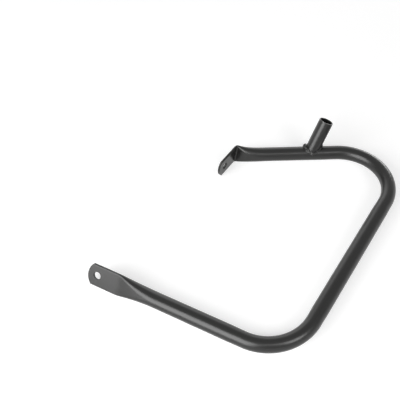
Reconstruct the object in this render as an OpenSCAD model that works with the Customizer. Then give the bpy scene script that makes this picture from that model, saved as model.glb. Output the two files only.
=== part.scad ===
// Saddlebag guard, right-hand side: a bent round tube hoop with pressed, drilled ends
// and a short open socket tube welded on its rear run.
// +X points outward from the motorbike, +Y rearward along the side run, +Z up.
// The origin is the centre of the front bolt hole, in the middle of the pressed flat.

/* [Tube] */
// Outside diameter of the hoop tube
tube_d = 25.4; // [22:0.1:32]
// Wall thickness of the hoop tube
tube_wall = 2; // [1.2:0.1:2.2]

/* [Hoop] */
// Length of the side run, between the two corner points of the tube's axis
side_len = 484; // [400:1:650]
// Distance along the front run, from its corner point to the front bolt hole
front_len = 330.5; // [260:0.5:450]
// Distance along the rear run, from its corner point to the fold of the tab
rear_len = 325.5; // [300:0.5:450]
// Inside angle between the side run and the front run
front_corner = 94.6; // [80:0.1:105]
// Inside angle between the side run and the rear run
rear_corner = 58.2; // [50:0.1:75]
// Bend radius at the tube's axis
bend_r = 80; // [60:1:90]

/* [Pressed ends] */
// Width of the pressed flats
flat_w = 38; // [32:0.5:42]
// Thickness of the pressed flats, two walls and the paint between them
flat_t = 4.4; // [4.4:0.1:6]
// Diameter of the bolt holes
bolt_hole_d = 13; // [8:0.1:14]
// Distance from a bolt hole's centre to the end of its flat
tip_len = 17; // [14:0.5:24]
// Radius of the curved end of each flat
tip_r = 27; // [22:0.5:40]
// Radius of the corners beside the curved end
tip_corner_r = 3; // [1:0.5:6]

/* [Front flat] */
// Length of the front flat behind its bolt hole
front_flat_len = 41; // [30:1:60]
// Length over which the front run turns from round to flat
front_press_len = 70; // [40:1:80]
// Turn of the front flat about the run, its face tipped upward
front_roll = 33; // [0:1:60]
// How far the front flat lies off the tube's axis, towards its outer face
front_shift = 3.2; // [0:0.1:6]
// How far the front flat's centre line lies below the tube's axis, across its width
front_drop = 0.8; // [0:0.1:3]

/* [Rear tab] */
// Distance from the fold to the bolt hole
tab_len = 33; // [28:0.5:50]
// Length over which the rear run turns from round to flat
rear_press_len = 66; // [40:1:80]
// Angle through which the flat is folded into the tab
fold_turn = 56.5; // [30:0.1:80]
// Lean of the fold line, away from square across the run
fold_skew = 10; // [0:0.5:12]
// Inside radius of the fold
fold_r = 3; // [2:0.5:6]
// How far the rear flat lies off the tube's axis, away from the fold's inside
rear_shift = 4.6; // [0:0.1:10]
// Turn of the rear flat about the run
rear_roll = 4; // [0:0.5:20]

/* [Socket] */
// Outside diameter of the socket tube
socket_d = 25.4; // [18:0.1:25.4]
// Wall thickness of the socket tube
socket_wall = 2; // [1.2:0.1:3]
// Diameter of the reamed bore, from the mouth to the step that a bar rests on
socket_bore_d = 21.8; // [21.6:0.1:22.4]
// Depth of the reamed bore
socket_bore_depth = 45; // [26:0.5:46]
// Length of the socket tube, from the axis of the rear run to its mouth
socket_len = 68; // [50:1:100]
// Distance along the rear run, from its corner point to the socket's axis
socket_at = 190.5; // [180:0.5:220]
// Lean of the socket rearward
socket_lean_back = 27.5; // [0:0.5:40]
// Lean of the socket outward
socket_lean_out = 11; // [0:0.5:25]
// Root gap between the coped foot and the hoop tube
cope_gap = 0.3; // [0:0.05:0.5]
// Diameter of the cross hole in the socket's inner wall
cross_hole_d = 7; // [4:0.1:10]
// Distance from the mouth to the cross hole
cross_hole_down = 21; // [12:0.5:30]

/* [Weld] */
// Leg of the weld bead, measured out from the foot of the socket
weld_leg = 6; // [3:0.5:8]
// Swell of the bead's face between its toes
weld_bulge = 1.5; // [1:0.1:3]
// Height of the ripples along the bead
weld_ripple = 0.3; // [0:0.1:0.6]
// Number of ripples round the foot
weld_ripples = 16; // [8:1:24]

/* [Hidden] */
tube_black = [0.13, 0.13, 0.13];
socket_black = [0.17, 0.17, 0.17];
weld_black = [0.1, 0.1, 0.1];
$fn = 64;
tube_r = tube_d / 2;
bore_r = tube_r - tube_wall;
// How far each stretch of the tube reaches into the next
join = 1;
// How much smaller a stretch is that reaches into the next
inset = 0.1;
// How fast the press profile rises from the flat towards the round tube, and how fast the wall
// on the inside of the fold rises, which leaves a short pocket beside the fold
press_curve = 1.9;
fold_wall_curve = 3.5;
// Points round a pressed section, and sections along it
ring_n = 32;
press_n = 11;
fold_n = 6;
// Clear height at which the inside of a pressed end closes
pinch_t = 1.2;

// Corner points, headings of the runs and the hoop's tangent lengths
front_heading = 90 + front_corner;
rear_heading = 270 - rear_corner;
front_turn = 180 - front_corner;
rear_turn = 180 - rear_corner;
front_tangent = bend_r * tan(front_turn / 2);
rear_tangent = bend_r * tan(rear_turn / 2);
rear_point = [0, side_len, 0];
// Where each run stops being round, measured from its corner point
front_round = front_len - front_flat_len - front_press_len;
rear_round = rear_len - rear_press_len;
// The front bolt hole, from the front corner point
function heading(a) = [cos(a), sin(a), 0];
front_side = [-sin(front_heading), cos(front_heading), 0];
front_normal = front_side * cos(front_roll) + [0, 0, sin(front_roll)];
front_width = [0, 0, cos(front_roll)] - front_side * sin(front_roll);
front_hole = front_len * heading(front_heading) + front_shift * front_normal - front_drop * front_width;

// Pressed sections. All lie in a run's own frame: x along the run towards the tip,
// z along the flat's width and y across its thickness.
function swell(u, curve) = 1 - pow(1 - u, curve);
function press_high(u, off, curve) = (off + flat_t / 2) * (1 - swell(u, curve)) + tube_r * swell(u, curve);
function press_low(u, off) = (off - flat_t / 2) * (1 - swell(u, press_curve)) - tube_r * swell(u, press_curve);
function flatness(h) = (tube_d - h) / (tube_d - flat_t);
function press_w(h) = tube_d + (flat_w - tube_d) * flatness(h);
// Rounded slot outline, w wide and h thick, as [width, thickness] points
function slot_ring(w, h) = [for (i = [0:ring_n - 1]) let (a = (i + 0.5) * 360 / ring_n)
    [sign(cos(a)) * (w - h) / 2 + h / 2 * cos(a), h / 2 * sin(a)]];
// One section: x is its place on the run, lean its skew, and off its place across the run and upward
function section(x, lean, off, w, h) =
    [for (p = slot_ring(w, h)) [x - p[0] * lean, off[0] + p[1], off[1] + p[0]]];
// Sections of the round-to-flat stretch, after its round end; skin shrinks them to the inner wall
function press_rings(len, off, lean, skin, u_end, curve) = [for (i = [1:press_n])
    let (u = 1 - (1 - u_end) * i / press_n, high = press_high(u, off[0], curve), low = press_low(u, off[0]),
        h = high - low, w = press_w(h))
    section(len * (1 - u), lean * (1 - u), [(high + low) / 2, off[1] * flatness(h)],
        w - 2 * skin, h - 2 * skin)];

// Closed skin over a list of sections with equal numbers of points
module skin_over(rings) {
    n = len(rings[0]);
    last = len(rings) - 1;
    polyhedron(points = [for (r = rings) each r], convexity = 4, faces = concat(
        [[for (i = [n - 1:-1:0]) i]],
        [for (k = [0:last - 1], i = [0:n - 1]) [k * n + i, k * n + (i + 1) % n, (k + 1) * n + i]],
        [for (k = [0:last - 1], i = [0:n - 1])
            [k * n + (i + 1) % n, (k + 1) * n + (i + 1) % n, (k + 1) * n + i]],
        [[for (i = [0:n - 1]) last * n + i]]));
}

// Share of the press at which the inside closes
u_pinch = max(0.02, 1 - pow(1 - (2 * tube_wall + pinch_t - flat_t) / (tube_d - flat_t), 1 / press_curve));
round_ring = section(-join, 0, [0, 0], tube_d - 2 * inset, tube_d - 2 * inset);
bore_ring = section(-join, 0, [0, 0], 2 * (bore_r - inset), 2 * (bore_r - inset));
front_off = [front_shift, -front_drop];
rear_off = [-rear_shift, 0];

// Pressed flat with rounded long edges, from x = from to the curved end past the bolt hole
module flat_blade(from, hole_at, off) {
    tip = hole_at + tip_len;
    difference() {
        intersection() {
            translate([0, off[0], off[1]]) {
                translate([from, -flat_t / 2, -(flat_w - flat_t) / 2])
                    cube([tip - from, flat_t, flat_w - flat_t]);
                for (s = [-1, 1])
                    translate([from, 0, s * (flat_w - flat_t) / 2])
                        rotate([0, 90, 0]) cylinder(h = tip - from, d = flat_t);
            }
            translate([0, off[0] + flat_t, off[1]]) rotate([90, 0, 0])
                linear_extrude(2 * flat_t) tip_outline(from, tip);
        }
        translate([hole_at, off[0] - flat_t, off[1]]) rotate([-90, 0, 0])
            cylinder(h = 2 * flat_t, d = bolt_hole_d);
    }
}

// Outline of a flat's end: a wide arc with rounded corners
module tip_outline(from, tip) {
    half = flat_w / 2;
    inner_half = half - tip_corner_r;
    corner_x = tip - tip_r + sqrt(pow(tip_r - tip_corner_r, 2) - pow(inner_half, 2));
    // Half width of the big arc, up to where it touches the corner circles
    arc_half = inner_half * tip_r / (tip_r - tip_corner_r);
    intersection() {
        translate([from, -half]) square([tip - from, flat_w]);
        union() {
            translate([from, -half]) square([corner_x - from, flat_w]);
            for (s = [-1, 1]) translate([corner_x, s * inner_half]) circle(tip_corner_r);
            intersection() {
                translate([tip - tip_r, 0]) circle(tip_r);
                translate([from, -arc_half]) square([tip, 2 * arc_half]);
            }
        }
    }
}

// Front end, in the frame of the front run
module front_end() {
    skin_over(concat([round_ring],
        press_rings(front_press_len, front_off, 0, inset, 0, press_curve),
        [section(front_press_len + join, 0, front_off, flat_w - 2 * inset, flat_t - 2 * inset)]));
    flat_blade(front_press_len + join / 2, front_press_len + front_flat_len, front_off);
}

// Rear end. The fold turns about an axis that leans with the fold line.
fold_mid_r = fold_r + flat_t / 2;
fold_axis = [-sin(fold_skew), 0, cos(fold_skew)];
fold_centre = [rear_press_len, fold_mid_r - rear_shift, 0];
// Slide along the fold axis that keeps the strip's edges running on through the fold
function fold_slide(turn) = -tan(fold_skew) * fold_mid_r * turn * PI / 180;
function turned(v, axis, a) = v * cos(a) + cross(axis, v) * sin(a) + axis * (axis * v) * (1 - cos(a));
function folded(p, turn) =
    fold_centre + turned(p - fold_centre, fold_axis, turn) + fold_axis * fold_slide(turn);
fold_reach = flat_w / 2 * tan(fold_skew);

module rear_end() {
    skew = tan(fold_skew);
    w = flat_w - 2 * inset;
    t = flat_t - 2 * inset;
    fold_ring = section(rear_press_len, skew, rear_off, w, t);
    last_ring = section(rear_press_len + fold_reach + 2 * join, 0, rear_off, w, t);
    skin_over(concat([round_ring],
        press_rings(rear_press_len, rear_off, skew, inset, 0, fold_wall_curve),
        [for (i = [1:fold_n]) [for (p = fold_ring) folded(p, fold_turn * i / fold_n)]],
        [[for (p = last_ring) folded(p, fold_turn)]]));
    in_tab() flat_blade(rear_press_len + fold_reach + join, rear_press_len + tab_len, rear_off);
}

// Carries what is drawn on the unfolded strip round the fold
module in_tab() {
    translate(fold_centre + fold_axis * fold_slide(fold_turn)) rotate(a = fold_turn, v = fold_axis)
        translate(-fold_centre) children();
}

// The inside of a pressed end, closed where the walls meet
module end_bore(len, off, lean, curve) {
    skin_over(concat([bore_ring], press_rings(len, off, lean, tube_wall + inset, u_pinch, curve)));
}

// Frames of the front and rear runs, x = 0 where the round tube ends
module on_front_run() {
    translate(front_round * heading(front_heading)) rotate([0, 0, front_heading])
        rotate([front_roll, 0, 0]) children();
}
module on_rear_run() {
    translate(rear_point + rear_round * heading(rear_heading)) rotate([0, 0, rear_heading])
        rotate([rear_roll, 0, 0]) children();
}

// Straight stretch of round bar of radius r
module run(from, dir, start, stop, r) {
    translate(from + start * heading(dir)) rotate([0, 0, dir]) rotate([0, 90, 0])
        cylinder(h = stop - start, r = r);
}

// Bend between two straight stretches of radius r, reaching a little into both
module bend(centre, start, turn, r) {
    over = asin(join / bend_r);
    translate(centre) rotate([0, 0, start - over])
        rotate_extrude(angle = turn + 2 * over) translate([bend_r, 0]) circle(r - inset);
}

// Round part of the hoop: three runs and two bends
module round_runs(r) {
    run([0, 0, 0], front_heading, front_tangent, front_round, r);
    bend([-bend_r, front_tangent, 0], -front_turn, front_turn, r);
    run([0, 0, 0], 90, front_tangent, side_len - rear_tangent, r);
    bend([-bend_r, side_len - rear_tangent, 0], 0, rear_turn, r);
    run(rear_point, rear_heading, rear_tangent, rear_round, r);
}

module hoop_tube() {
    color(tube_black) from_hole() difference() {
        union() {
            round_runs(tube_r);
            on_front_run() front_end();
            on_rear_run() rear_end();
        }
        union() {
            round_runs(bore_r);
            on_front_run() end_bore(front_press_len, front_off, 0, press_curve);
            on_rear_run() end_bore(rear_press_len, rear_off, tan(fold_skew), fold_wall_curve);
        }
    }
}

// Socket: its frame has z along the socket's axis, from the axis of the rear run
socket_foot = rear_point + socket_at * heading(rear_heading);
socket_lean = [tan(socket_lean_out), tan(socket_lean_back), 1];
socket_dir = socket_lean / norm(socket_lean);
socket_tilt = acos(socket_dir[2]);
socket_way = atan2(socket_dir[1], socket_dir[0]);
socket_r = socket_d / 2;

module on_socket() {
    translate(socket_foot) rotate([0, socket_tilt, socket_way]) children();
}

module socket_tube() {
    color(socket_black) from_hole() difference() {
        on_socket() difference() {
            cylinder(h = socket_len, r = socket_r);
            translate([0, 0, -join]) cylinder(h = socket_len, r = socket_r - socket_wall);
            translate([0, 0, socket_len - socket_bore_depth])
                cylinder(h = socket_bore_depth + join, d = socket_bore_d);
            translate([0, 0, socket_len - cross_hole_down]) rotate([0, 0, 180 - socket_way])
                rotate([0, 90, 0]) cylinder(h = socket_d, d = cross_hole_d);
        }
        run(rear_point, rear_heading, rear_tangent, rear_round, tube_r + cope_gap);
    }
}

// Weld bead: a rippled fillet along the curve where the socket meets the hoop tube
run_dir = heading(rear_heading);
socket_side = [cos(socket_tilt) * cos(socket_way), cos(socket_tilt) * sin(socket_way), -sin(socket_tilt)];
socket_cross = cross(socket_dir, socket_side);
// Sections for each ripple, spans across the bead's face and along its foot on the hoop tube,
// and its clearance from both tubes
ripple_n = 4;
bead_n = 5;
bead_foot_n = 4;
bead_gap = 0.1;

function unit(v) = v / norm(v);
function off_run(v) = v - run_dir * (v * run_dir);
// Directions out from the socket's axis, and points of the foot curve, at angle a round the socket
function foot_out(a) = socket_side * cos(a) + socket_cross * sin(a);
function foot_rise(q) = let (d = off_run(socket_dir), b = d * q, c = q * q - tube_r * tube_r)
    (-b + sqrt(max(0, b * b - (d * d) * c))) / (d * d);
function foot_point(a) = foot_out(a) * socket_r + socket_dir * foot_rise(off_run(foot_out(a)) * socket_r);
// A point moved onto the hoop tube's surface
function on_hoop(p) = run_dir * (p * run_dir) + unit(off_run(p)) * (tube_r + bead_gap);
// Section of the bead: its root, its toe on the socket, its bulging face, its toe on the hoop tube
// and its foot along the hoop tube, back to the root
function bead_section(a) =
    let (root = foot_point(a), along = foot_point(a + 1) - foot_point(a - 1),
        up = root + socket_dir * weld_leg + foot_out(a) * bead_gap,
        down = on_hoop(root + unit(cross(along, unit(off_run(root)))) * weld_leg),
        face = unit(unit(off_run(root)) + foot_out(a)),
        swell = weld_bulge + weld_ripple * cos(a * weld_ripples))
    concat([root + face * bead_gap], [for (j = [0:bead_n]) let (t = j / bead_n)
        up * (1 - t) + down * t + face * (swell * 4 * t * (1 - t))],
        [for (j = [1:bead_foot_n - 1]) on_hoop(down + (root - down) * j / bead_foot_n)]);

module socket_weld() {
    bead_count = ripple_n * weld_ripples;
    color(weld_black) from_hole() translate(socket_foot)
        skin_loop([for (i = [0:bead_count - 1]) bead_section(360 * i / bead_count)]);
}

// Closed ring of sections, the last joined to the first
module skin_loop(rings) {
    n = len(rings[0]);
    m = len(rings);
    polyhedron(points = [for (r = rings) each r], convexity = 6, faces = concat(
        [for (k = [0:m - 1], i = [0:n - 1]) [k * n + i, k * n + (i + 1) % n, ((k + 1) % m) * n + i]],
        [for (k = [0:m - 1], i = [0:n - 1])
            [k * n + (i + 1) % n, ((k + 1) % m) * n + (i + 1) % n, ((k + 1) % m) * n + i]]));
}

// Moves the hoop's own frame so that the front bolt hole is the origin
module from_hole() {
    translate(-front_hole) children();
}

hoop_tube();
socket_tube();
socket_weld();
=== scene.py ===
import math

import bmesh
import bpy
from mathutils import Matrix, Vector


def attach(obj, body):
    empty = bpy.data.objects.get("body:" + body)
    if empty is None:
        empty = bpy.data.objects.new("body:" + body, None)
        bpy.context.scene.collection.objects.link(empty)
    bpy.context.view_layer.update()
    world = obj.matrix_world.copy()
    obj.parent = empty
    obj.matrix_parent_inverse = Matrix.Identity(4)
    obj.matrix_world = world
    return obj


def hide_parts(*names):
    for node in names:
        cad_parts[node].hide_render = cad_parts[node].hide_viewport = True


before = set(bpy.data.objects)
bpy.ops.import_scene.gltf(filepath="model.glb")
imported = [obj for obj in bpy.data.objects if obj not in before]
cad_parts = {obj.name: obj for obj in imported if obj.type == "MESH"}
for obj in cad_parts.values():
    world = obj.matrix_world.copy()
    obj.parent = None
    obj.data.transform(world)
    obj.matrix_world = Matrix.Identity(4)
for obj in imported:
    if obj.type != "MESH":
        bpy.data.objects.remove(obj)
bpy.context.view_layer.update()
print("frame loaded with", ", ".join(sorted(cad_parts)))

mm = 0.001  # all sizes below are in millimetres and degrees

# The hoop: a round tube with one bend at each end of its side run
hoop = {
    "tubeDiameter": 25.4,
    "sideLength": 484,  # between the two corner points of the tube's axis
    "frontLength": 330.5,  # corner point to front bolt hole
    "rearLength": 325.5,  # corner point to fold of the tab
    "frontCorner": 94.6,
    "rearCorner": 58.2,
    "bendRadius": 80,
    "bendSteps": 48,
    "bendOval": 0.03,  # a cold bend leaves the tube this much narrower in the plane of the bend
    "bendOvalEnd": 1.035,  # ... fading out at this distance from the bend's middle, in bend radii
    "skin": 0.04,  # keeps the finer mesh inside the frame's own tube
    "ringPoints": 96,
    "ringSpacing": 3,
    "joinWithin": 0.01,
}
# Both ends are pressed flat, drilled and sheared to a wide arc
flat = {
    "width": 38,
    "thickness": 4.4,
    "boltHole": 13,
    "tipLength": 17,
    "tipRadius": 27,
    "tipCorner": 3,
    "pressCurve": 1.9,
    "pressSteps": 44,
    "crowding": 0.4,  # below 1, the rings' points crowd on the rounded sides
    "faceWithin": 0.0001,
    "edgeRound": 0.5,
    "edgeSteps": 3,
    "edgeMargin": 0.5,  # extra ring beside each rounded edge, which keeps the faces flat
    "holeMargin": 0.4,
    "holePoints": 72,
    "seamWide": 0.3,  # where the two walls meet, on the sheared end and in the hole
    "seamDeep": 0.35,
}
frontFlat = {
    "length": 41,  # end of the press to bolt hole
    "press": 70,
    "innerCurve": 1.9,
    "softStart": 6,  # the flat goes over into the press over this length each way
    "plainAfter": 1,
    "roll": 33,
    "shift": 3.2,
    "drop": 0.8,
}
rearTab = {
    "length": 33,  # fold to bolt hole
    "press": 66,
    "innerCurve": 3.5,  # the wall inside the fold swells out steeply beside it
    "softStart": 0,
    "plainAfter": 2,
    "roll": 4,
    "shift": 4.6,
    "foldTurn": 56.5,
    "foldSkew": 10,
    "foldRadius": 3,
    "foldSteps": 14,
}


def heading(degrees):
    a = math.radians(degrees)
    return Vector((math.cos(a), math.sin(a), 0))


def turned(degrees, axis):
    return Matrix.Rotation(math.radians(degrees), 4, axis)


tubeRadius = hoop["tubeDiameter"] / 2 - hoop["skin"]
frontHeading = 90 + hoop["frontCorner"]
rearHeading = 270 - hoop["rearCorner"]
frontCorner = Vector((0, 0, 0))
rearCorner = Vector((0, hoop["sideLength"], 0))
# Frames of the two pressed ends: x along the run, y through the flat, z across its width
frontRound = frontCorner + heading(frontHeading) * (
    hoop["frontLength"] - frontFlat["length"] - frontFlat["press"])
rearRound = rearCorner + heading(rearHeading) * (hoop["rearLength"] - rearTab["press"])
frontFrame = Matrix.Translation(frontRound) @ turned(frontHeading, "Z") @ turned(frontFlat["roll"], "X")
rearFrame = Matrix.Translation(rearRound) @ turned(rearHeading, "Z") @ turned(rearTab["roll"], "X")
boltHoleAt = frontFrame @ Vector((
    frontFlat["press"] + frontFlat["length"], frontFlat["shift"], -frontFlat["drop"]))


def toPart(point):
    return (point - boltHoleAt) * mm  # the front bolt hole is the origin of the part


def addNode(tree, kind, at, **settings):
    node = tree.nodes.new(kind)
    node.location = at
    for name, value in settings.items():
        setattr(node, name, value)
    return node


def mathNode(tree, operation, at, a, b=0):
    node = addNode(tree, "ShaderNodeMath", at, operation=operation)
    for slot, value in enumerate((a, b)):
        if isinstance(value, (int, float)):
            node.inputs[slot].default_value = value
        else:
            tree.links.new(value, node.inputs[slot])
    return node.outputs[0]


def newNodeTree(name, inputs):
    # Geometry Nodes group with named inputs, given as (name, socket type, default)
    tree = bpy.data.node_groups.new(name, "GeometryNodeTree")
    tree.interface.new_socket("Geometry", in_out="INPUT", socket_type="NodeSocketGeometry")
    for label, kind, default in inputs:
        socket = tree.interface.new_socket(label, in_out="INPUT", socket_type="NodeSocket" + kind)
        if default is not None:
            socket.default_value = default
    tree.interface.new_socket("Geometry", in_out="OUTPUT", socket_type="NodeSocketGeometry")
    start, end = addNode(tree, "NodeGroupInput", (-900, 0)), addNode(tree, "NodeGroupOutput", (900, 0))
    return tree, start, end


def bakeNodes(source, tree, values, name):
    # Runs the tree on the source object and returns its result as a plain mesh object
    modifier = source.modifiers.new(tree.name, "NODES")
    modifier.node_group = tree
    for item in tree.interface.items_tree:
        if item.in_out == "INPUT" and item.name in values:
            modifier[item.identifier] = values[item.name]
    graph = bpy.context.evaluated_depsgraph_get()
    mesh = bpy.data.meshes.new_from_object(source.evaluated_get(graph), depsgraph=graph)
    source.modifiers.remove(modifier)
    bpy.data.objects.remove(source)
    mesh.name = name
    return newObject(name, mesh)


def newObject(name, data):
    made = bpy.data.objects.new(name, data)
    bpy.context.scene.collection.objects.link(made)
    return made


def faceOutwards(mesh):
    bm = bmesh.new()
    bm.from_mesh(mesh)
    bmesh.ops.recalc_face_normals(bm, faces=bm.faces)
    bm.to_mesh(mesh)
    bm.free()


def roundedEdge(radius, steps):
    # Quarter circle over an edge, as (distance short of the edge, depth below the face)
    turns = [math.radians(90 * i / steps) for i in range(steps + 1)]
    return [(radius * (1 - math.sin(a)), radius * (1 - math.cos(a))) for a in turns]


def meshFrom(name, points, edges, faces):
    mesh = bpy.data.meshes.new(name)
    mesh.from_pydata([tuple(p) for p in points], edges, faces)
    return mesh


# Satin black powder coat, with a fine orange peel and slightly cloudy gloss
powderCoat = {
    "colour": (0.008, 0.008, 0.0076, 1),
    "cloudColour": 1.35,  # the cloudy places are lighter by this factor
    "cloudSize": 26,
    "cloudDetail": 4,
    "roughness": 0.3,
    "glossier": 0.04,
    "duller": 0.05,
    "specular": 0.5,
    "peelSize": 1100,
    "peelDetail": 2,
    "peelDepth": 0.02,
    "peelStrength": 0.25,
}


def powderCoatFinish(name, sizes, seed):
    material = bpy.data.materials.new(name)
    material.use_nodes = True
    tree = material.node_tree
    tree.nodes.clear()
    out = addNode(tree, "ShaderNodeOutputMaterial", (600, 0))
    shader = addNode(tree, "ShaderNodeBsdfPrincipled", (300, 0))
    shader.inputs["Specular IOR Level"].default_value = sizes["specular"]
    where = addNode(tree, "ShaderNodeTexCoord", (-900, 0))
    peel = addNode(tree, "ShaderNodeTexNoise", (-500, -300), noise_dimensions="4D")
    peel.inputs["Scale"].default_value = sizes["peelSize"]
    peel.inputs["Detail"].default_value = sizes["peelDetail"]
    peel.inputs["W"].default_value = seed
    bump = addNode(tree, "ShaderNodeBump", (0, -300))
    bump.inputs["Strength"].default_value = sizes["peelStrength"]
    bump.inputs["Distance"].default_value = sizes["peelDepth"] * mm
    cloud = addNode(tree, "ShaderNodeTexNoise", (-500, 200), noise_dimensions="4D")
    cloud.inputs["Scale"].default_value = sizes["cloudSize"]
    cloud.inputs["Detail"].default_value = sizes["cloudDetail"]
    cloud.inputs["W"].default_value = seed + 3
    shade = addNode(tree, "ShaderNodeMixRGB", (0, 200))
    shade.inputs[1].default_value = sizes["colour"]
    shade.inputs[2].default_value = tuple(c * sizes["cloudColour"] for c in sizes["colour"][:3]) + (1,)
    gloss = addNode(tree, "ShaderNodeMapRange", (0, 0))
    gloss.inputs["To Min"].default_value = sizes["roughness"] - sizes["glossier"]
    gloss.inputs["To Max"].default_value = sizes["roughness"] + sizes["duller"]
    link = tree.links.new
    link(where.outputs["Object"], peel.inputs["Vector"])
    link(where.outputs["Object"], cloud.inputs["Vector"])
    link(peel.outputs["Fac"], bump.inputs["Height"])
    link(cloud.outputs["Fac"], shade.inputs[0])
    link(cloud.outputs["Fac"], gloss.inputs["Value"])
    link(shade.outputs[0], shader.inputs["Base Color"])
    link(gloss.outputs["Result"], shader.inputs["Roughness"])
    link(bump.outputs["Normal"], shader.inputs["Normal"])
    link(shader.outputs[0], out.inputs["Surface"])
    return material


hoopCoat = powderCoatFinish("hoopCoat", powderCoat, 1)
socketCoat = powderCoatFinish("socketCoat", powderCoat, 2)
weldCoat = powderCoatFinish("weldCoat", powderCoat, 3)
print("finishes made")


# Hoop tube: the round runs and bends are swept along their path
def sweptTubeTree():
    tree, start, end = newNodeTree("sweptTube", [
        ("Tube Radius", "Float", 0.0127), ("Bend Radius", "Float", 0.08),
        ("Bend Steps", "Int", 32), ("Ring Spacing", "Float", 0.003), ("Ring Points", "Int", 96),
        ("Front Bend Middle", "Vector", None), ("Rear Bend Middle", "Vector", None),
        ("Oval", "Float", 0.03), ("Oval End", "Float", 1.04),
        ("Finish", "Material", None)])
    link = tree.links.new
    path = addNode(tree, "GeometryNodeMeshToCurve", (-700, 200))
    bends = addNode(tree, "GeometryNodeFilletCurve", (-500, 200), mode="POLY")
    even = addNode(tree, "GeometryNodeResampleCurve", (-400, 200), mode="LENGTH")
    upright = addNode(tree, "GeometryNodeSetCurveNormal", (-300, 200), mode="Z_UP")
    ring = addNode(tree, "GeometryNodeCurvePrimitiveCircle", (-300, -200))
    keepMiddle = addNode(
        tree, "GeometryNodeStoreNamedAttribute", (0, 300), data_type="FLOAT_VECTOR")
    keepMiddle.inputs["Name"].default_value = "middleOfTube"
    here = addNode(tree, "GeometryNodeInputPosition", (-300, 400))
    sweep = addNode(tree, "GeometryNodeCurveToMesh", (150, 0))
    real = addNode(tree, "GeometryNodeRealizeInstances", (400, 0))
    coat = addNode(tree, "GeometryNodeSetMaterial", (600, 0))
    link(start.outputs["Geometry"], path.inputs["Mesh"])
    link(path.outputs["Curve"], bends.inputs["Curve"])
    link(start.outputs["Bend Radius"], bends.inputs["Radius"])
    link(start.outputs["Bend Steps"], bends.inputs["Count"])
    link(bends.outputs["Curve"], even.inputs["Curve"])
    link(start.outputs["Ring Spacing"], even.inputs["Length"])
    link(even.outputs["Curve"], upright.inputs["Curve"])
    link(upright.outputs["Curve"], keepMiddle.inputs["Geometry"])
    link(start.outputs["Ring Points"], ring.inputs["Resolution"])
    link(start.outputs["Tube Radius"], ring.inputs["Radius"])
    link(here.outputs[0], keepMiddle.inputs["Value"])
    link(keepMiddle.outputs["Geometry"], sweep.inputs["Curve"])
    link(ring.outputs["Curve"], sweep.inputs["Profile Curve"])
    # The bends turn slightly oval: points move towards the tube's middle, in the hoop's plane
    middle = addNode(
        tree, "GeometryNodeInputNamedAttribute", (-700, -500), data_type="FLOAT_VECTOR")
    middle.inputs["Name"].default_value = "middleOfTube"
    apart = []
    for row, label in enumerate(("Front Bend Middle", "Rear Bend Middle")):
        away = addNode(tree, "ShaderNodeVectorMath", (-500, -500 - 200 * row), operation="DISTANCE")
        link(middle.outputs["Attribute"], away.inputs[0])
        link(start.outputs[label], away.inputs[1])
        apart.append(away.outputs["Value"])
    near = mathNode(tree, "DIVIDE", (-100, -500), mathNode(tree, "MINIMUM", (-300, -500), *apart),
                    start.outputs["Bend Radius"])
    fade = addNode(tree, "ShaderNodeMapRange", (100, -500), interpolation_type="SMOOTHSTEP")
    fade.inputs["From Min"].default_value = 1
    link(near, fade.inputs["Value"])
    link(start.outputs["Oval End"], fade.inputs["From Max"])
    link(start.outputs["Oval"], fade.inputs["To Min"])
    fade.inputs["To Max"].default_value = 0
    inward = addNode(tree, "ShaderNodeVectorMath", (100, -300), operation="SUBTRACT")
    link(middle.outputs["Attribute"], inward.inputs[0])
    link(here.outputs[0], inward.inputs[1])
    flatten = addNode(tree, "ShaderNodeVectorMath", (250, -300), operation="MULTIPLY")
    flatten.inputs[1].default_value = (1, 1, 0)
    link(inward.outputs["Vector"], flatten.inputs[0])
    push = addNode(tree, "ShaderNodeVectorMath", (400, -300), operation="SCALE")
    link(flatten.outputs["Vector"], push.inputs[0])
    link(fade.outputs["Result"], push.inputs["Scale"])
    oval = addNode(tree, "GeometryNodeSetPosition", (300, 0))
    link(sweep.outputs["Mesh"], oval.inputs["Geometry"])
    link(push.outputs["Vector"], oval.inputs["Offset"])
    link(oval.outputs["Geometry"], real.inputs["Geometry"])
    link(real.outputs["Geometry"], coat.inputs["Geometry"])
    link(start.outputs["Finish"], coat.inputs["Material"])
    link(coat.outputs["Geometry"], end.inputs["Geometry"])
    return tree


def bendMiddle(corner, one, other):
    # Middle of the arc that rounds a corner between two directions
    half = one.angle(other) / 2
    return toPart(corner + (one + other).normalized() * (hoop["bendRadius"] / math.sin(half)))


pathPoints = [toPart(p) for p in (frontRound, frontCorner, rearCorner, rearRound)]
tubePath = newObject("tubePath", meshFrom("tubePath", pathPoints, [(0, 1), (1, 2), (2, 3)], []))
hoopTube = bakeNodes(tubePath, sweptTubeTree(), {
    "Tube Radius": tubeRadius * mm, "Bend Radius": hoop["bendRadius"] * mm,
    "Bend Steps": hoop["bendSteps"], "Ring Spacing": hoop["ringSpacing"] * mm,
    "Ring Points": hoop["ringPoints"],
    "Front Bend Middle": bendMiddle(frontCorner, heading(frontHeading), heading(90)),
    "Rear Bend Middle": bendMiddle(rearCorner, heading(rearHeading), heading(270)),
    "Oval": hoop["bendOval"], "Oval End": hoop["bendOvalEnd"], "Finish": hoopCoat}, "hoopTube")
print("round tube swept:", len(hoopTube.data.vertices), "points")


# Hoop tube: the pressed ends
def swell(u, power):
    return 1 - (1 - u) ** power


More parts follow.
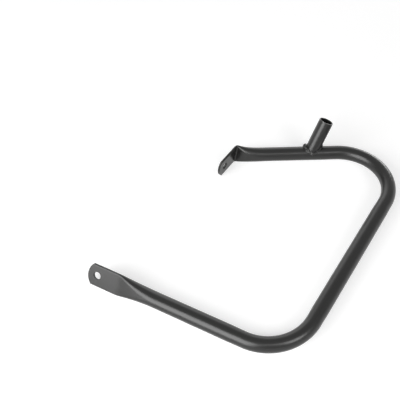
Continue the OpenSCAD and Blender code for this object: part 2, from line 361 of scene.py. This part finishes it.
def pressSection(size, u, offY, offZ):
    # Offset, width and height of the section, u from the flat (0) to the round tube (1)
    outer, inner = swell(u, flat["pressCurve"]), swell(u, size["innerCurve"])
    high = (offY + flat["thickness"] / 2) * (1 - inner) + tubeRadius * inner
    low = (offY - flat["thickness"] / 2) * (1 - outer) - tubeRadius * outer
    flatness = (2 * tubeRadius - high + low) / (2 * tubeRadius - flat["thickness"])
    width = 2 * tubeRadius + (flat["width"] - 2 * tubeRadius) * flatness
    return (high + low) / 2, offZ * flatness, width, high - low


def sectionPoint(s, width, height):
    # Point s of a rounded slot, counted from its +z side over its +y face; (y, z)
    quarter, t = divmod(4 * s / hoop["ringPoints"] % 4, 1)
    if quarter % 2:
        t = 1 - t
    arc, straight = math.pi * height / 4, (width - height) / 2
    arcShare = (arc / (arc + straight)) ** flat["crowding"]
    if t <= arcShare:
        a = math.pi / 2 * t / arcShare
        y, z = height / 2 * math.sin(a), straight + height / 2 * math.cos(a)
    else:
        y, z = height / 2, straight * (1 - (t - arcShare) / (1 - arcShare))
    return (y if quarter < 2 else -y), (z if quarter in (0, 3) else -z)


def sectionRing(x, lean, offY, offZ, width, height, phase):
    ring = []
    for k in range(hoop["ringPoints"]):
        y, z = sectionPoint(k + phase, width, height)
        ring.append(Vector((x - z * lean, offY + y, offZ + z)))
    return ring


def tipX(z, tip):
    # Where the sheared end lies, z off the middle of a flat that ends at tip
    half = flat["width"] / 2
    inner = half - flat["tipCorner"]
    z = min(abs(z), half)
    if z <= inner * flat["tipRadius"] / (flat["tipRadius"] - flat["tipCorner"]):
        return tip - flat["tipRadius"] + math.sqrt(flat["tipRadius"] ** 2 - z ** 2)
    cornerX = tip - flat["tipRadius"] + math.sqrt(
        (flat["tipRadius"] - flat["tipCorner"]) ** 2 - inner ** 2)
    return cornerX + math.sqrt(max(0, flat["tipCorner"] ** 2 - (z - inner) ** 2))


class EndMesh:
    # Collects the rings of one pressed end and the flat with its bolt hole
    def __init__(self, place):
        self.bm = bmesh.new()
        self.place = place
        self.last = None

    def addRing(self, points, place=None):
        place = place or self.place
        return [self.bm.verts.new(toPart(place(p))) for p in points]

    def bridge(self, a, b, skip=()):
        n = len(a)
        for i in range(n):
            if i not in skip:
                self.bm.faces.new((a[i], a[(i + 1) % n], b[(i + 1) % n], b[i]))

    def follow(self, ring):
        if self.last:
            self.bridge(self.last, ring)
        self.last = ring


def pressedEnd(size, place, foldPlace, lean, offY, offZ, holeAt, flatFrom, phase):
    # The run from round to flat, the fold if there is one, then the plain flat from flatFrom on
    end = EndMesh(place)
    steps, count, soft = flat["pressSteps"], hoop["ringPoints"], size["softStart"]
    for i in range(steps + 1):
        x = (size["press"] + soft) * i / steps
        left = size["press"] - x
        if left < soft:
            left = (left + soft) ** 2 / (4 * soft)  # the flat starts to open gently
        u = left / size["press"]
        share = min(1, x / size["press"])
        end.follow(end.addRing(sectionRing(x, lean * share, *pressSection(size, u, offY, offZ),
                                           phase * (1 - share) + 0.5 * share)))
    blade = (flat["width"], flat["thickness"], 0.5)
    if foldPlace:
        foldRing = sectionRing(size["press"], lean, offY, offZ, *blade)
        for i in range(1, size["foldSteps"] + 1):
            turn = size["foldTurn"] * i / size["foldSteps"]
            end.follow(end.addRing(foldRing, lambda p: foldPlace(p, turn)))
        end.place = lambda p: foldPlace(p, size["foldTurn"])
    end.follow(end.addRing(sectionRing(flatFrom, 0, offY, offZ, *blade)))
    start = end.last
    # Rings at the sheared tip, its edge rounded
    tip, edge, half = holeAt + flat["tipLength"], flat["edgeRound"], flat["thickness"] / 2
    plain = sectionRing(0, 0, 0, 0, *blade)
    tipRings = []
    rounding = [(edge + flat["edgeMargin"], 0)] + roundedEdge(edge, flat["edgeSteps"])
    for inset, shrink in rounding:
        tipRings.append(end.addRing([Vector((
            tipX(p.z, tip) - inset, offY + p.y * (1 - shrink / half),
            offZ + p.z * (1 - 2 * shrink / flat["width"]))) for p in plain]))
    level = half - flat["faceWithin"]
    top = [k for k in range(count) if plain[k].y > level][1:-1]
    bottom = [k for k in range(count) if plain[k].y < -level][1:-1]
    end.bridge(start, tipRings[0], skip=set(top[:-1]) | set(bottom[:-1]))
    for a, b in zip(tipRings, tipRings[1:]):
        end.bridge(a, b)
    # The cap has a fine seam where the two pressed walls meet
    cap, last = tipRings[-1], count // 2 - 1
    rows = []
    for i in range(last + 1):
        deep = flat["seamDeep"] if 2 <= i <= last - 2 else 0
        z = plain[i].z * (1 - 2 * edge / flat["width"])
        rows.append([cap[i]] + end.addRing([
            Vector((tipX(plain[i].z, tip) - back, offY + y, offZ + z))
            for y, back in ((flat["seamWide"] / 2, 0), (0, deep), (-flat["seamWide"] / 2, 0))])
            + [cap[count - 1 - i]])
    for i in range(1, last - 1):
        for j in range(4):
            end.bm.faces.new((rows[i][j], rows[i + 1][j], rows[i + 1][j + 1], rows[i][j + 1]))
    for a, b in ((0, 1), (last, last - 1)):
        end.bm.faces.new([rows[a][0]] + rows[b] + [rows[a][4]])
        for v in rows[a][1:4]:
            end.bm.verts.remove(v)
    # Bolt hole: loops from one face through to the other
    r, points = flat["boltHole"] / 2, flat["holePoints"]
    profile = [(r + out, half - down) for out, down in rounding] + [(r, half - edge - flat["holeMargin"])]
    profile.append((r, flat["seamWide"] / 2))
    profile += [(r + flat["seamDeep"], 0)] + [(radius, -y) for radius, y in reversed(profile)]
    loops = []
    for radius, y in profile:
        loops.append(end.addRing([Vector((
            holeAt + radius * math.cos(2 * math.pi * i / points), offY + y,
            offZ + radius * math.sin(2 * math.pi * i / points))) for i in range(points)]))
    for a, b in zip(loops, loops[1:]):
        end.bridge(a, b)
    for side, loop in ((top, loops[0]), (bottom, loops[-1])):
        edges = []
        for row in (start, tipRings[0]):
            edges += [(row[a], row[b]) for a, b in zip(side, side[1:])]
        edges += [(start[k], tipRings[0][k]) for k in (side[0], side[-1])]
        edges += [(loop[i], loop[(i + 1) % len(loop)]) for i in range(len(loop))]
        found = [end.bm.edges.get(pair) or end.bm.edges.new(pair) for pair in edges]
        bmesh.ops.triangle_fill(end.bm, edges=found, use_beauty=True)
    mesh = bpy.data.meshes.new("pressedEnd")
    end.bm.to_mesh(mesh)
    end.bm.free()
    return mesh


def ringPhase(mesh, place):
    # How far round from the end's own +z side the swept tube's points lie, in ring points
    back = place.inverted()
    found = []
    for v in mesh.vertices:
        p = back @ (v.co / mm + boltHoleAt)
        if abs(p.x) < hoop["joinWithin"] and p.yz.length < hoop["tubeDiameter"]:
            found.append(math.degrees(math.atan2(p.y, p.z)) / 360 * hoop["ringPoints"] % 1)
    print("ring at the end:", len(found), "points, phase", round(min(found), 3), round(max(found), 3))
    return sorted(found)[len(found) // 2]


skew = math.tan(math.radians(rearTab["foldSkew"]))
foldMiddle = rearTab["foldRadius"] + flat["thickness"] / 2
foldAxis = turned(-rearTab["foldSkew"], "Y").to_3x3() @ Vector((0, 0, 1))
foldCentre = Vector((rearTab["press"], foldMiddle - rearTab["shift"], 0))


def folded(point, turn):
    # Turns a point of the flat strip round the leaning fold line
    slide = -skew * foldMiddle * math.radians(turn)
    moved = Matrix.Rotation(math.radians(turn), 3, foldAxis) @ (point - foldCentre)
    return rearFrame @ (foldCentre + moved + foldAxis * slide)


frontMesh = pressedEnd(
    frontFlat, lambda p: frontFrame @ p, None, 0, frontFlat["shift"], -frontFlat["drop"],
    frontFlat["press"] + frontFlat["length"],
    frontFlat["press"] + frontFlat["softStart"] + frontFlat["plainAfter"],
    ringPhase(hoopTube.data, frontFrame))
rearMesh = pressedEnd(
    rearTab, lambda p: rearFrame @ p, folded, skew, -rearTab["shift"], 0,
    rearTab["press"] + rearTab["length"],
    rearTab["press"] + flat["width"] / 2 * skew + rearTab["plainAfter"],
    ringPhase(hoopTube.data, rearFrame))

bm = bmesh.new()
for part in (hoopTube.data, frontMesh, rearMesh):
    bm.from_mesh(part)
bmesh.ops.remove_doubles(bm, verts=bm.verts, dist=hoop["joinWithin"] * mm)
bmesh.ops.recalc_face_normals(bm, faces=bm.faces)
openEdges = sum(1 for e in bm.edges if len(e.link_faces) != 2)
bm.to_mesh(hoopTube.data)
bm.free()
hoopTube.data.shade_smooth()
print("hoop tube closed, open edges:", openEdges, "faces:", len(hoopTube.data.polygons))


# Socket: a short open tube with a cross hole, its foot coped to the hoop tube
socket = {
    "diameter": 25.4,
    "wall": 2,
    "bore": 21.8,  # reamed from the mouth
    "boreDepth": 45,
    "length": 68,
    "at": 190.5,  # along the rear run, from its corner point
    "leanBack": 27.5,
    "leanOut": 11,
    "crossHole": 7,
    "crossHoleDown": 21,
    "lipRound": 0.45,
    "lipSteps": 4,
    "lipMargin": 0.4,
    "stepEase": 0.2,
    "footClear": 0.05,
    "holePoints": 64,
    "sharpFrom": 40,
    "ringPoints": 128,
    "rows": 48,
}
runDir = heading(rearHeading)
socketFoot = rearCorner + runDir * socket["at"]
socketDir = Vector((
    math.tan(math.radians(socket["leanOut"])), math.tan(math.radians(socket["leanBack"])), 1)).normalized()
socketTilt = math.degrees(math.acos(socketDir.z))
socketWay = math.degrees(math.atan2(socketDir.y, socketDir.x))
socketTurn = turned(socketWay, "Z") @ turned(socketTilt, "Y")
socketFrame = Matrix.Translation(socketFoot) @ socketTurn
socketSide = (socketTurn @ Vector((1, 0, 0))).to_3d()
socketCross = socketDir.cross(socketSide)
socketRadius = socket["diameter"] / 2


def offRun(v):
    return v - runDir * v.dot(runDir)


def footOut(degrees):
    a = math.radians(degrees)
    return socketSide * math.cos(a) + socketCross * math.sin(a)


def footRise(degrees, radius, hoopRadius):
    # Height along the socket's axis at which a line at this radius meets the hoop tube
    q, d = offRun(footOut(degrees)) * radius, offRun(socketDir)
    b, c = d.dot(q), q.dot(q) - hoopRadius ** 2
    return (-b + math.sqrt(max(0, b * b - d.dot(d) * c))) / d.dot(d)


def socketMesh():
    # Rings from the coped foot up the outside, over the lip and down the reamed bore to the foot
    outer, inner, bore = socketRadius, socketRadius - socket["wall"], socket["bore"] / 2
    length, count, rows, ease = socket["length"], socket["ringPoints"], socket["rows"], socket["stepEase"]
    foot, step = tubeRadius + socket["footClear"], length - socket["boreDepth"]
    top = length - socket["lipRound"] - socket["lipMargin"]
    lip = roundedEdge(socket["lipRound"], socket["lipSteps"])
    profile = [(outer, j / rows, top) for j in range(rows + 1)]
    profile += [(outer - deep, 1, length - short) for short, deep in lip]
    profile += [(bore + short, 1, length - deep) for short, deep in lip]
    profile += [(bore, 1, z) for z in (top, (top + step) / 2, step + ease, step)]
    profile.append((inner, 1, step - ease))
    profile += [(inner, 1 - j / rows, step - 2 * ease) for j in range(rows + 1)]
    points, faces = [], []
    for r, share, z in profile:
        for k in range(count):
            degrees = 360 * k / count
            height = z if share == 1 else footRise(degrees, r, foot) * (1 - share) + z * share
            a = math.radians(degrees)
            points.append(toPart(socketFrame @ Vector((r * math.cos(a), r * math.sin(a), height))))
    n = len(profile)
    for j in range(n):
        for k in range(count):
            faces.append((j * count + k, j * count + (k + 1) % count,
                          (j + 1) % n * count + (k + 1) % count, (j + 1) % n * count + k))
    return meshFrom("socketTube", points, [], faces)


socketTube = newObject("socketTube", socketMesh())
socketTube.data.materials.append(socketCoat)
drill = bmesh.new()
drillRadius = socket["crossHole"] / 2 * mm
bmesh.ops.create_cone(drill, cap_ends=True, segments=socket["holePoints"], radius1=drillRadius,
                      radius2=drillRadius, depth=socket["diameter"] * mm)
holeTurn = socketTurn @ turned(180 - socketWay, "Z") @ turned(90, "Y")
holeAt = socketFoot + socketDir * (socket["length"] - socket["crossHoleDown"]) + (
    holeTurn @ Vector((0, 0, socket["diameter"] / 2))).to_3d()
drill.transform(Matrix.Translation(toPart(holeAt)) @ holeTurn)
cutter = newObject("crossHoleCutter", bpy.data.meshes.new("crossHoleCutter"))
drill.to_mesh(cutter.data)
drill.free()
cut = socketTube.modifiers.new("crossHole", "BOOLEAN")
cut.operation, cut.solver, cut.object = "DIFFERENCE", "EXACT", cutter
graph = bpy.context.evaluated_depsgraph_get()
drilled = bpy.data.meshes.new_from_object(socketTube.evaluated_get(graph), depsgraph=graph)
socketTube.modifiers.clear()
socketTube.data = drilled
bpy.data.objects.remove(cutter)
faceOutwards(socketTube.data)
socketTube.data.shade_smooth()
socketTube.data.set_sharp_from_angle(angle=math.radians(socket["sharpFrom"]))
print("socket drilled, faces:", len(socketTube.data.polygons))


# Weld bead: sections round the foot, then ripples along it
weld = {
    "leg": 6,
    "upLeg": 5,  # up the socket's wall
    "thinLeg": 1.5,
    "lowest": 3.5,  # it runs across the socket's wall rather than down to the hoop's widest line
    "lowestBlend": 2,
    "fullAt": 130,  # where its leg on the hoop is fullest, in degrees round the socket
    "fullSpread": 3,  # how fast the leg thins out from there
    "bulge": 1.9,
    "ripple": 0.85,
    "ripples": 16,
    "thinRipple": 0.35,  # height of the ripples where the leg is thinnest
    "crescent": 5,
    "unevenness": 2.1,
    "lumpSize": 260,
    "seed": 7,
    "sections": 288,
    "faceSteps": 20,
    "footSteps": 5,
    "clear": 0.05,
}


def footPoint(degrees):
    rise, lowest = footRise(degrees, socketRadius, tubeRadius), weld["lowest"]
    smooth = (rise + lowest + math.sqrt((rise - lowest) ** 2 + weld["lowestBlend"] ** 2)) / 2
    return footOut(degrees) * socketRadius + socketDir * smooth


def onHoop(p):
    return runDir * p.dot(runDir) + offRun(p).normalized() * (tubeRadius + weld["clear"])


def legAt(degrees):
    near = 0.5 + 0.5 * math.cos(math.radians(degrees - weld["fullAt"]))
    return weld["thinLeg"] + (weld["leg"] - weld["thinLeg"]) * near ** weld["fullSpread"]


def beadSection(degrees):
    root, leg = footPoint(degrees), legAt(degrees)
    along = footPoint(degrees + 1) - footPoint(degrees - 1)
    out = offRun(root).normalized()
    up = root + socketDir * weld["upLeg"] + footOut(degrees) * weld["clear"]
    down = onHoop(root + along.cross(out).normalized() * leg)
    face = (out + footOut(degrees)).normalized()
    ring = [root + face * weld["clear"]]
    for j in range(weld["faceSteps"] + 1):
        t = j / weld["faceSteps"]
        ring.append(up * (1 - t) + down * t + face * (weld["bulge"] * 4 * t * (1 - t)))
    for j in range(1, weld["footSteps"]):
        ring.append(onHoop(down + (root - down) * j / weld["footSteps"]))
    return ring


def weldMesh():
    rings = [beadSection(360 * i / weld["sections"]) for i in range(weld["sections"])]
    m, n = len(rings), len(rings[0])
    points = [toPart(socketFoot + p) for ring in rings for p in ring]
    faces = [(k * n + i, k * n + (i + 1) % n, (k + 1) % m * n + (i + 1) % n, (k + 1) % m * n + i)
             for k in range(m) for i in range(n)]
    mesh = meshFrom("socketWeld", points, [], faces)
    thin, last = weld["thinRipple"], weld["faceSteps"] + 1
    rowValues = {
        "alongBead": lambda k, i: k / m,
        "acrossBead": lambda k, i: min(1, max(0, i - 1) / weld["faceSteps"]) if i <= last else 1,
        "beadSize": lambda k, i: thin + (1 - thin) * legAt(360 * k / m) / weld["leg"],
    }
    for name, valueAt in rowValues.items():
        values = mesh.attributes.new(name, "FLOAT", "POINT")
        values.data.foreach_set("value", [valueAt(k, i) for k in range(m) for i in range(n)])
    return mesh


def weldRippleTree():
    tree, start, end = newNodeTree("weldRipples", [
        ("Ripple Height", "Float", 0.0004), ("Ripples", "Float", 16.0), ("Crescent", "Float", 5.0),
        ("Unevenness", "Float", 2.1), ("Lump Size", "Float", 260.0), ("Seed", "Float", 7.0),
        ("Finish", "Material", None)])
    link = tree.links.new

    def maths(operation, at, a, b=0):
        return mathNode(tree, operation, at, a, b)

    def named(name, at):
        node = addNode(tree, "GeometryNodeInputNamedAttribute", at, data_type="FLOAT")
        node.inputs["Name"].default_value = name
        return node.outputs["Attribute"]

    # Each ripple is a crescent: its middle runs ahead of its two ends
    centred = maths("SUBTRACT", (-700, 500), named("acrossBead", (-900, 500)), 0.5)
    squared = maths("MULTIPLY", (-600, 500), centred, centred)
    crescent = maths("MULTIPLY", (-500, 500), squared, start.outputs["Crescent"])
    turns = maths("MULTIPLY", (-700, 300), named("alongBead", (-900, 300)), start.outputs["Ripples"])
    phase = maths("MULTIPLY", (-400, 300), maths("ADD", (-500, 300), turns, crescent), 2 * math.pi)
    wave = maths("SINE", (-300, 300), phase)
    noise = addNode(tree, "ShaderNodeTexNoise", (-500, 0), noise_dimensions="4D")
    link(start.outputs["Lump Size"], noise.inputs["Scale"])
    link(start.outputs["Seed"], noise.inputs["W"])
    lumps = maths("SUBTRACT", (-300, 0), noise.outputs["Fac"], 0.5)
    rough = maths("MULTIPLY", (-200, 0), lumps, start.outputs["Unevenness"])
    # The ripples fade out towards both toes
    fade = maths("SUBTRACT", (-200, 500), 1, maths("MULTIPLY", (-300, 500), squared, 4))
    mixed = maths("MULTIPLY", (100, 200), maths("ADD", (0, 200), wave, rough), fade)
    sized = maths("MULTIPLY", (100, 350), start.outputs["Ripple Height"], named("beadSize", (-100, 400)))
    height = maths("MULTIPLY", (200, 200), mixed, sized)
    normal = addNode(tree, "GeometryNodeInputNormal", (100, -100))
    offset = addNode(tree, "ShaderNodeVectorMath", (350, 0), operation="SCALE")
    link(normal.outputs["Normal"], offset.inputs[0])
    link(height, offset.inputs["Scale"])
    move = addNode(tree, "GeometryNodeSetPosition", (500, 0))
    real = addNode(tree, "GeometryNodeRealizeInstances", (650, 0))
    coat = addNode(tree, "GeometryNodeSetMaterial", (780, 0))
    link(start.outputs["Geometry"], move.inputs["Geometry"])
    link(offset.outputs["Vector"], move.inputs["Offset"])
    link(move.outputs["Geometry"], real.inputs["Geometry"])
    link(real.outputs["Geometry"], coat.inputs["Geometry"])
    link(start.outputs["Finish"], coat.inputs["Material"])
    link(coat.outputs["Geometry"], end.inputs["Geometry"])
    return tree


weldBase = newObject("weldBase", weldMesh())
faceOutwards(weldBase.data)
socketWeld = bakeNodes(weldBase, weldRippleTree(), {
    "Ripple Height": weld["ripple"] * mm, "Ripples": float(weld["ripples"]),
    "Crescent": float(weld["crescent"]), "Unevenness": weld["unevenness"],
    "Lump Size": float(weld["lumpSize"]), "Seed": float(weld["seed"]), "Finish": weldCoat}, "socketWeld")
socketWeld.data.shade_smooth()
print("weld bead made, faces:", len(socketWeld.data.polygons))

for piece, node, slot in (
        (hoopTube, "hoop_tube", "powder_coat"),
        (socketTube, "socket_tube", "powder_coat_socket"),
        (socketWeld, "socket_weld", "powder_coat_weld")):
    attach(piece, "root")
    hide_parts(node)


# Camera, fitted to the picture: heading from +Y towards -X, pitch down, roll clockwise
camera = {
    "at": (489.99, -362.09, 839.33),
    "heading": 37.001,
    "pitch": 49.244,
    "roll": 5.123,
    "lens": 57.33,
    "sees": (0.05, 20),  # metres
}
across, dip, roll = (math.radians(camera[k]) for k in ("heading", "pitch", "roll"))
forward = Vector((-math.sin(across) * math.cos(dip), math.cos(across) * math.cos(dip), -math.sin(dip)))
right = Vector((math.cos(across), math.sin(across), 0))
down = forward.cross(right)
cameraRight = right * math.cos(roll) + down * math.sin(roll)
cameraDown = down * math.cos(roll) - right * math.sin(roll)
cam = newObject("camera", bpy.data.cameras.new("camera"))
cam.data.lens = camera["lens"]
cam.data.clip_start, cam.data.clip_end = camera["sees"]
cam.matrix_world = Matrix.Translation(Vector(camera["at"]) * mm) @ Matrix((
    cameraRight, -cameraDown, -forward)).transposed().to_4x4()
bpy.context.scene.camera = cam

# Lamps stand round the object, turned from +X towards +Y and raised above the hoop's plane
studio = {
    "middle": (190, 220, 0),
    "distance": 2000,
    "floorSize": 12000,
    "floorColour": (0.6, 0.6, 0.6, 1),
    "floorWhite": 0.55,
    "farWhite": 0.95,
    "whiteFrom": 0.8,  # metres from the middle, where the lamps start to miss the floor
    "whiteTo": 2.0,
    "worldLight": 0.1,
    "backdropTop": 0.03,  # height on the sky's sphere, 0 at the horizon
    "backdropFade": 0.2,
    "ceiling": 0.6,
}
lamps = {
    "keyLamp": {"turn": 256, "raised": 27, "size": (1700, 1700), "watts": 54},
    "rightLamp": {"turn": 345, "raised": 38, "size": (800, 800), "watts": 13},
    "leftLamp": {"turn": 130, "raised": 23, "size": (1600, 1300), "watts": 8},
    "backLamp": {"turn": 90, "raised": 8, "size": (800, 450), "watts": 8},
    "frontLamp": {"turn": 318, "raised": 52, "size": (1000, 250), "watts": 3},
}
for name, lamp in lamps.items():
    data = bpy.data.lights.new(name, "AREA")
    data.shape, data.energy = "RECTANGLE", lamp["watts"]
    data.size, data.size_y = (side * mm for side in lamp["size"])
    light = newObject(name, data)
    light.visible_camera = False
    turn, raised = math.radians(lamp["turn"]), math.radians(lamp["raised"])
    level = math.cos(raised)
    outward = Vector((math.cos(turn) * level, math.sin(turn) * level, math.sin(raised)))
    place = (Vector(studio["middle"]) + outward * studio["distance"]) * mm
    facing = outward.to_track_quat("Z", "Y").to_matrix().to_4x4()
    light.matrix_world = Matrix.Translation(place) @ facing

floorZ = min(v.co.z for v in hoopTube.data.vertices)
side = studio["floorSize"] / 2 * mm
floorCorners = [(x * side, y * side, floorZ) for x, y in ((-1, -1), (1, -1), (1, 1), (-1, 1))]
floor = newObject("floor", meshFrom("floor", floorCorners, [], [(0, 1, 2, 3)]))


def seenDirectly(tree, mirrored=1):
    # 1 for a camera ray, mirrored for a glossy or transmitted ray, else 0
    path = addNode(tree, "ShaderNodeLightPath", (-900, 300))
    either = mathNode(tree, "MAXIMUM", (-700, 200), path.outputs["Is Glossy Ray"],
                      path.outputs["Is Transmission Ray"])
    return mathNode(tree, "MAXIMUM", (-300, 300), path.outputs["Is Camera Ray"],
                    mathNode(tree, "MULTIPLY", (-500, 200), either, mirrored))


# The floor's white is added to its lit colour, so the object's shadow stays on it
floorFinish = bpy.data.materials.new("paleFloor")
floorFinish.use_nodes = True
tree = floorFinish.node_tree
tree.nodes.clear()
matt = addNode(tree, "ShaderNodeBsdfDiffuse", (-100, 0))
matt.inputs["Color"].default_value = studio["floorColour"]
glow = addNode(tree, "ShaderNodeEmission", (-100, -200))
total = addNode(tree, "ShaderNodeAddShader", (150, 0))
floorOut = addNode(tree, "ShaderNodeOutputMaterial", (350, 0))
where = addNode(tree, "ShaderNodeTexCoord", (-1300, -300))
away = addNode(tree, "ShaderNodeVectorMath", (-1100, -300), operation="DISTANCE")
away.inputs[1].default_value = Vector(studio["middle"]) * mm
outer = addNode(tree, "ShaderNodeMapRange", (-900, -300), interpolation_type="SMOOTHSTEP")
for name, value in (("From Min", studio["whiteFrom"]), ("From Max", studio["whiteTo"]),
                    ("To Min", studio["floorWhite"]), ("To Max", studio["farWhite"])):
    outer.inputs[name].default_value = value
tree.links.new(where.outputs["Object"], away.inputs[0])
tree.links.new(away.outputs["Value"], outer.inputs["Value"])
share = mathNode(tree, "MULTIPLY", (-300, -200), seenDirectly(tree), outer.outputs["Result"])
tree.links.new(share, glow.inputs["Strength"])
tree.links.new(matt.outputs[0], total.inputs[0])
tree.links.new(glow.outputs[0], total.inputs[1])
tree.links.new(total.outputs[0], floorOut.inputs["Surface"])
floor.data.materials.append(floorFinish)

world = bpy.data.worlds.new("studio")
bpy.context.scene.world = world
world.use_nodes = True
tree = world.node_tree
background = tree.nodes["Background"]
background.inputs["Color"].default_value = (1, 1, 1, 1)
# The white backdrop stands round the floor, under a dimmer ceiling
toward = addNode(tree, "ShaderNodeTexCoord", (-1300, 0))
height = addNode(tree, "ShaderNodeSeparateXYZ", (-1100, 0))
fade = addNode(tree, "ShaderNodeMapRange", (-900, 0))
fadeEnd = studio["backdropTop"] + studio["backdropFade"]
for name, value in (("From Min", studio["backdropTop"]), ("From Max", fadeEnd),
                    ("To Min", 1), ("To Max", studio["ceiling"])):
    fade.inputs[name].default_value = value
tree.links.new(toward.outputs["Generated"], height.inputs[0])
tree.links.new(height.outputs["Z"], fade.inputs["Value"])
shown = seenDirectly(tree, fade.outputs["Result"])
strength = mathNode(tree, "MAXIMUM", (-100, 200), shown, studio["worldLight"])
tree.links.new(strength, background.inputs["Strength"])

bpy.context.scene.view_settings.view_transform = "Standard"
